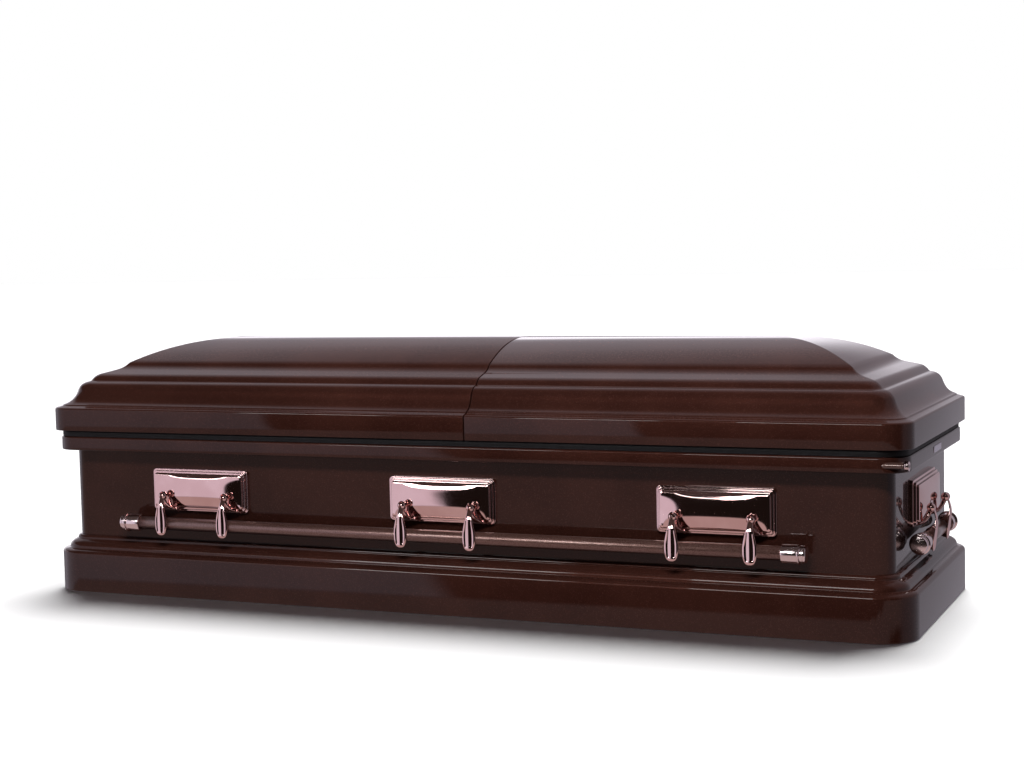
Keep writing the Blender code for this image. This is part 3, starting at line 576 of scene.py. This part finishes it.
def drop(co, front):
    """A grid's vertex on the drop, from side to side as co.x and from the neck down as -co.y."""
    w, share = math.sin(co.x * math.pi / 2), (1 - co.y) / 2
    below = max(share - LOBE, 0) / (1 - LOBE)
    half = NECK_HALF + LOBE_SWELL * math.sin(min(share / LOBE, 1) * math.pi / 2) ** 2
    half *= LOBE_END + (1 - LOBE_END) * math.sqrt(1 - min(below, 1) ** 3)
    out = DROP_OUT + DROP_BOW * math.sin(min(share / BOW_SHARE, 1) * math.pi / 2)
    if front:
        end = math.sqrt(1 - ease(share, 0.93, 1) ** 2)
        leaf = (1 - ease(abs(w), 0.60, 0.76)) * ease(share, 0.22, 0.34) * (1 - ease(share, 0.88, 0.95))
        out += RIM_RISE + FACE_ROUND * math.sqrt(max(1 - w * w, 0)) * end
        out -= leaf * (LEAF_DEPTH - LEAF_RIB * (1 - ease(abs(w), 0, 0.30)))
    return Vector((w * half, -out, ARM_TOP - share * (ARM_TOP - ARM_LOW)))


arm = begin("arm_pattern")
bpy.ops.mesh.primitive_grid_add(x_subdivisions=18, y_subdivisions=44, size=2)
bpy.ops.mesh.duplicate()
shape(arm, lambda co: drop(co, False))
pick(arm, lambda vert: vert.co.z == 0)
shape(arm, lambda co: drop(co, True))
bpy.ops.mesh.select_mode(type="EDGE")
bpy.ops.mesh.select_all(action="DESELECT")
bpy.ops.mesh.select_non_manifold(use_wire=False, use_multi_face=False, use_non_contiguous=False,
                                 use_verts=False)
bpy.ops.mesh.bridge_edge_loops()
bpy.ops.mesh.select_mode(type="VERT")
bpy.ops.mesh.select_all(action="SELECT")
bpy.ops.mesh.normals_make_consistent(inside=False)
for side in (-1, 1):
    bpy.ops.mesh.select_all(action="DESELECT")
    bpy.ops.mesh.primitive_uv_sphere_add(segments=32, ring_count=16, radius=BALL,
                                         rotation=(0, math.pi / 2, 0), location=(0, -KNUCKLE_OUT, KNUCKLE_Z))
    bpy.ops.mesh.bisect(plane_co=(side * SLOT_HALF, 0, 0), plane_no=(side, 0, 0), clear_inner=True,
                        use_fill=True)
    bpy.ops.mesh.select_linked()
turned(arm, [(-STUB_HALF, PIN), (STUB_HALF, PIN)], 16, -KNUCKLE_OUT, KNUCKLE_Z)
hug = [(BAR_OUT + (BAR + GRIP_PLAY) * math.cos(a), BAR_Z + (BAR + GRIP_PLAY) * math.sin(a))
       for a in (math.radians(GRIP_FROM - GRIP_STEP * k) for k in range(GRIP_POINTS))]
above = [(0.0520, 0.2180), (0.0400, 0.2057), (0.0318, 0.2001)]
under = [(0.0335, 0.1605), (0.0420, 0.1575), (0.0520, 0.1560)]
block(arm, [(-out, z) for out, z in above + hug + under], -CLAW_HALF, CLAW_HALF, 0.0006)
close_up(arm, 38)
for letter, side in (("a", -1), ("b", 1)):
    hang_copies(arm, side * KNUCKLE_X, f"arm_{letter}_cast", None, "arm_" + letter, copper)
bpy.data.objects.remove(arm)

# Bars: round steel tube with a pebbled brown coat, which takes a broken, pinkish highlight.
# Each is held in its arms' claws and ends against its two tips.
TIP, TIP_LONG = 0.0205, 0.053
BAR_ROUND, BAR_PLAY = 0.0006, 0.0003
# The coat's colour is painted lighter on the pebbles' tops as a painted highlight, and darker in the gaps
# between them as painted shade.
PEBBLE_TOP_PAINTED_HIGHLIGHT, PEBBLE_GAP_PAINTED_SHADE = (0.21, 0.115, 0.100, 1), (0.10, 0.046, 0.036, 1)
bar_finish, shader, place = finish_named("Pebbled brown bar", Metallic=0.8, Specular_IOR_Level=0.3,
                                         Coat_Weight=1.0, Coat_Roughness=0.24)
pebble = place.node("ShaderNodeTexVoronoi", {"feature": "SMOOTH_F1"}, Vector=place, Scale=520.0)
# Painted highlight on the pebble tops and painted shade in the gaps between them.
feed(place, shader, Base_Color=pebble.step(0.1, 0.7).mix(PEBBLE_TOP_PAINTED_HIGHLIGHT, PEBBLE_GAP_PAINTED_SHADE),
     Roughness=0.26 + pebble * 0.10)
feed(place, shader, Normal=place.node("ShaderNodeBump", Strength=0.45, Distance=0.0004, Height=pebble))
LONG, SHORT = 0.852, 0.184
LENGTHS = ((LONG, SIDES[:2]), (SHORT, SIDES[2:]))
for half_length, sides in LENGTHS:
    bar = begin("bar_pattern")
    end = half_length - TIP_LONG - BAR_PLAY
    turned(bar, [(-end, BAR - BAR_ROUND), (-end + BAR_ROUND, BAR), (end - BAR_ROUND, BAR),
                 (end, BAR - BAR_ROUND)], 48, -BAR_OUT, BAR_Z)
    close_up(bar, 50)
    hang_copies(bar, 0, "bar_coated", None, "bar", bar_finish, sides, (0,))
    bpy.data.objects.remove(bar)

# Tips: turned in brass and plated like the castings, one pressed on each end of a bar.
# From the bar outward they have a sleeve, a raised collar, a neck and a rounded button.
plating, shader, place = finish_named("Turned and plated tip", Metallic=1.0)
turning = place.node("ShaderNodeTexNoise", Vector=place, Scale=90.0, Detail=3.0)
feed(place, shader, Base_Color=turning.mix((0.80, 0.66, 0.66, 1), (0.90, 0.77, 0.77, 1)),
     Roughness=0.14 + turning * 0.06)
# Shares of the tip's length and radius.
SLEEVE = ((0, 0.95), (0.012, 0.99), (0.03, 1), (0.30, 1), (0.625, 1), (0.64, 0.985), (0.65, 0.975))
COLLAR = ((0.66, 1.06), (0.67, 1.11), (0.70, 1.135), (0.73, 1.11), (0.745, 1.05), (0.755, 0.97))
NECK = ((0.77, 0.94), (0.86, 0.94), (0.87, 0.915), (0.88, 0.915))
BUTTON = ((0.89, 0.935), (0.95, 0.92), (0.975, 0.89), (0.99, 0.84), (1, 0.76))
TIP_PROFILE = SLEEVE + COLLAR + NECK + BUTTON
for half_length, sides in LENGTHS:
    for letter, side in (("a", -1), ("b", 1)):
        tip = begin("tip_pattern")
        turned(tip, [(side * (half_length - TIP_LONG * (1 - share)), TIP * r) for share, r in TIP_PROFILE],
               48, -BAR_OUT, BAR_Z)
        close_up(tip, 30)
        hang_copies(tip, 0, f"tip_{letter}_turned", None, "tip_" + letter, plating, sides,
                    (0,))
        bpy.data.objects.remove(tip)

# Lock: a bronzed barrel let into the ledge's corner at the foot, turned with a pinched inner end,
# and a plated hexagonal cap at its outer end, hollow for the sealing key.
LOCK_Y, LOCK_Z = -0.3455, 0.3685
BARREL_R, FLANGE_R, CAP_R, SOCKET_R, CAP_OUT = 0.0073, 0.0083, 0.0105, 0.0052, 1.0634
bronze, shader, place = finish_named("Bronzed lock barrel", Metallic=0.6,
                                     Coat_Weight=1.0, Coat_Roughness=0.06)
wear = place.node("ShaderNodeTexNoise", Vector=place, Scale=90.0, Detail=3.0)
feed(place, shader, Base_Color=wear.mix((0.060, 0.030, 0.024, 1), (0.100, 0.056, 0.046, 1)),
     Roughness=0.12 + wear * 0.08)
lock = begin("lock_barrel_turned")
pinched = [(1.0014, 0.0028), (1.0026, 0.0046), (1.0060, 0.0060), (1.0105, 0.0069), (1.0150, BARREL_R)]
flange = [(1.0440, BARREL_R), (1.0444, 0.0080), (1.0452, FLANGE_R), (1.0480, FLANGE_R), (1.0488, 0.0080),
          (1.0492, BARREL_R), (1.0514, BARREL_R)]
turned(lock, pinched + flange, 32, LOCK_Y, LOCK_Z)
close_up(lock, 40)
assign(lock, bronze, "casket", ["lock_barrel"])
cap = begin("lock_cap_hexagon")
turned(cap, [(1.0517, BARREL_R), (1.0540, 0.0099), (1.0546, CAP_R), (1.0618, CAP_R), (1.0630, 0.0098),
             (CAP_OUT, 0.0090), (CAP_OUT, SOCKET_R), (1.0570, 0.0050)], 6, LOCK_Y, LOCK_Z)
bpy.ops.mesh.select_all(action="SELECT")
shape(cap, lambda co: Matrix.Translation((0, LOCK_Y, LOCK_Z)) @ Matrix.Rotation(math.pi / 6, 4, "X")
      @ (co - Vector((0, LOCK_Y, LOCK_Z))))
bpy.ops.mesh.bevel(offset=0.0004, segments=2, affect="EDGES")
close_up(cap, 30)
assign(cap, plating, "casket", ["lock_cap"])

# Bare plate: a blank of satin-finished metal with rounded corners, stuck to the ledge at the foot end.
# It is brushed along its length.
PLATE_IN, PLATE_FACE, PLATE_Z = 1.0577, 1.0585, 0.3683
PLATE_LONG, PLATE_HIGH, PLATE_CORNER = 0.088, 0.014, 0.0025
SATIN_DARK, SATIN_LIGHT = (0.70, 0.68, 0.76, 1), (0.84, 0.82, 0.90, 1)
satin, shader, place = finish_named("Satin metal plate", Metallic=0.9)
brushed = place.node("ShaderNodeTexNoise", Detail=3.0, Scale=1.0, Vector=place.node(
    "ShaderNodeMapping", Vector=place, Scale=(30.0, 30.0, 2400.0)))
feed(place, shader, Base_Color=brushed.step(0.3, 0.7).mix(SATIN_DARK, SATIN_LIGHT),
     Roughness=0.26 + brushed * 0.16)
plate = begin("bare_plate_satin")
bpy.ops.mesh.primitive_plane_add(size=1, location=(PLATE_IN, 0, PLATE_Z), rotation=(0, math.pi / 2, 0))
bpy.ops.transform.resize(value=(1, PLATE_LONG, PLATE_HIGH), center_override=(PLATE_IN, 0, PLATE_Z))
bpy.ops.mesh.bevel(offset=PLATE_CORNER, segments=5, affect="VERTICES")
bpy.ops.mesh.extrude_region_move(TRANSFORM_OT_translate={"value": (PLATE_FACE - PLATE_IN, 0, 0)})
bpy.ops.mesh.bevel(offset=0.00025, segments=2, affect="EDGES")
close_up(plate, 40)
assign(plate, satin, "casket", ["bare_plate"])

# Studio: a pale floor, a soft key from above and behind, a fill from the front, and three lights in front
# that only reflections show. Reflections also show a dark room over a warm floor, with a pale panel on the
# left and a pale drape behind, which together light the casket at half their strength.
bpy.context.scene.view_settings.view_transform = "Standard"
bpy.ops.object.select_all(action="DESELECT")
bpy.ops.mesh.primitive_plane_add(size=80)
floor = bpy.context.object
floor.name = "floor"
floor.visible_glossy = False
floor.visible_diffuse = False
floor_finish, shader, place = finish_named("Pale floor", Roughness=0.7)
scuff = place.node("ShaderNodeTexNoise", Vector=place, Scale=0.8, Detail=2.0)
feed(place, shader, Base_Color=scuff.mix((0.86, 0.86, 0.86, 1), (0.90, 0.90, 0.90, 1)))
floor.data.materials.append(floor_finish)

world = bpy.data.worlds.new("Studio")
bpy.context.scene.world = world
world.use_nodes = True
tree = world.node_tree
sky = Value(tree, tree.nodes.new("ShaderNodeTexCoord").outputs["Generated"])
axes = tree.nodes.new("ShaderNodeSeparateXYZ")
tree.links.new(sky.socket, axes.inputs[0])
east, north, zenith = (Value(tree, axes.outputs[k]) for k in "XYZ")
above_floor = zenith.step(-0.245, -0.215)
room = zenith.step(0.30, 0.55).mix((0.010, 0.007, 0.006, 1), (0.060, 0.044, 0.041, 1))
room = above_floor.mix((0.48, 0.37, 0.36, 1), room)
PANEL_NORTH, PANEL_EAST = 0.4352, 0.9003
panel = (north * PANEL_NORTH - east * PANEL_EAST).step(-0.012, 0.012)
panel = panel * above_floor * (1 - zenith.step(0.34, 0.40))
room = panel.mix(room, (0.74, 0.68, 0.78, 1))
drape = zenith.node("ShaderNodeValToRGB", {"stops": (
    (0.0, (0.30, 0.275, 0.31)), (0.04, (0.60, 0.56, 0.62)), (0.08, (1.80, 1.72, 1.86)),
    (0.15, (1.70, 1.63, 1.76)), (0.23, (0.55, 0.52, 0.58)), (0.34, (0.46, 0.43, 0.48)),
    (0.55, (0.60, 0.56, 0.62)), (0.75, (0.50, 0.47, 0.52)), (0.92, (0.30, 0.28, 0.31)))}, Fac=zenith)
drape = east.step(-0.28, 0.0).mix(drape, (0.34, 0.31, 0.35, 1))
studio = (north + east * 0.3).step(-0.15, 0.25).mix(room, drape)
ray = tree.nodes.new("ShaderNodeLightPath")
seen, bounced = (Value(tree, ray.outputs[kind]) for kind in ("Is Camera Ray", "Is Diffuse Ray"))
studio = (bounced * 0.5).mix(studio, (0, 0, 0, 1))
tree.links.new(seen.mix(studio, (1.0, 1.0, 1.0, 1)).socket, tree.nodes["Background"].inputs["Color"])


def softbox(name, place, aim, wide, high, radiance):
    """A rectangular light turned from its place to its aim, as bright however large it is."""
    bpy.ops.object.light_add(type="AREA", location=place)
    light = bpy.context.object
    light.name = name
    light.data.shape = "RECTANGLE"
    light.data.size, light.data.size_y = wide, high
    light.data.energy = radiance * math.pi * wide * high
    light.rotation_euler = (Vector(aim) - Vector(place)).to_track_quat("-Z", "Y").to_euler()
    return light


REFLECTED = (("main_box", (0.05, -4.3, 1.97), 1.3, 0.95, 9.0),
             ("left_box", (-2.0, -4.3, 1.97), 1.3, 0.95, 9.0),
             ("long_strip", (-1.2, -4.32, 1.85), 5.0, 0.16, 4.5))
for name, place, wide, high, radiance in REFLECTED:
    softbox(name, place, (0, 0, 0.3), wide, high, radiance).visible_diffuse = False
fill = softbox("front_fill", (0.9, -3.1, 3.2), (0.2, 0, 0.3), 2.2, 0.5, 85.0)
fill.visible_glossy = False
lit = bpy.data.collections.new("lit_by_front_fill")
for piece in bpy.data.objects:
    if piece.type == "MESH" and piece != floor:
        lit.objects.link(piece)
fill.light_linking.receiver_collection = lit
bpy.ops.object.light_add(type="SUN")
key = bpy.context.object
key.name = "overhead_key"
key.data.energy = 5.5
key.data.angle = math.radians(40)
key.rotation_euler = Vector((0.05, -0.56, -1)).to_track_quat("-Z", "Y").to_euler()
key.visible_glossy = False

# Camera: in front and to the right of the foot end, looking slightly down,
# and rolled by just over a degree as the photograph is.
PHOTO_WIDTH, PHOTO_FOCAL, SENSOR = 1024, 1802.8, 36
CAMERA_PLACE = (1.769, -3.994, 0.829)
yaw, pitch, roll = math.radians(23.41), math.radians(4.34), math.radians(-1.26)
looking = Vector((-math.sin(yaw) * math.cos(pitch), math.cos(yaw) * math.cos(pitch), -math.sin(pitch)))
level = Vector((math.cos(yaw), math.sin(yaw), 0))
upright = level.cross(looking)
across = math.cos(roll) * level + math.sin(roll) * upright
up = math.cos(roll) * upright - math.sin(roll) * level
bpy.ops.object.camera_add(location=CAMERA_PLACE)
camera = bpy.context.object
camera.rotation_euler = Matrix((across, up, -looking)).transposed().to_euler()
camera.data.sensor_fit = "HORIZONTAL"
camera.data.sensor_width = SENSOR
camera.data.lens = SENSOR * PHOTO_FOCAL / PHOTO_WIDTH
bpy.context.scene.camera = camera

bpy.context.view_layer.update()
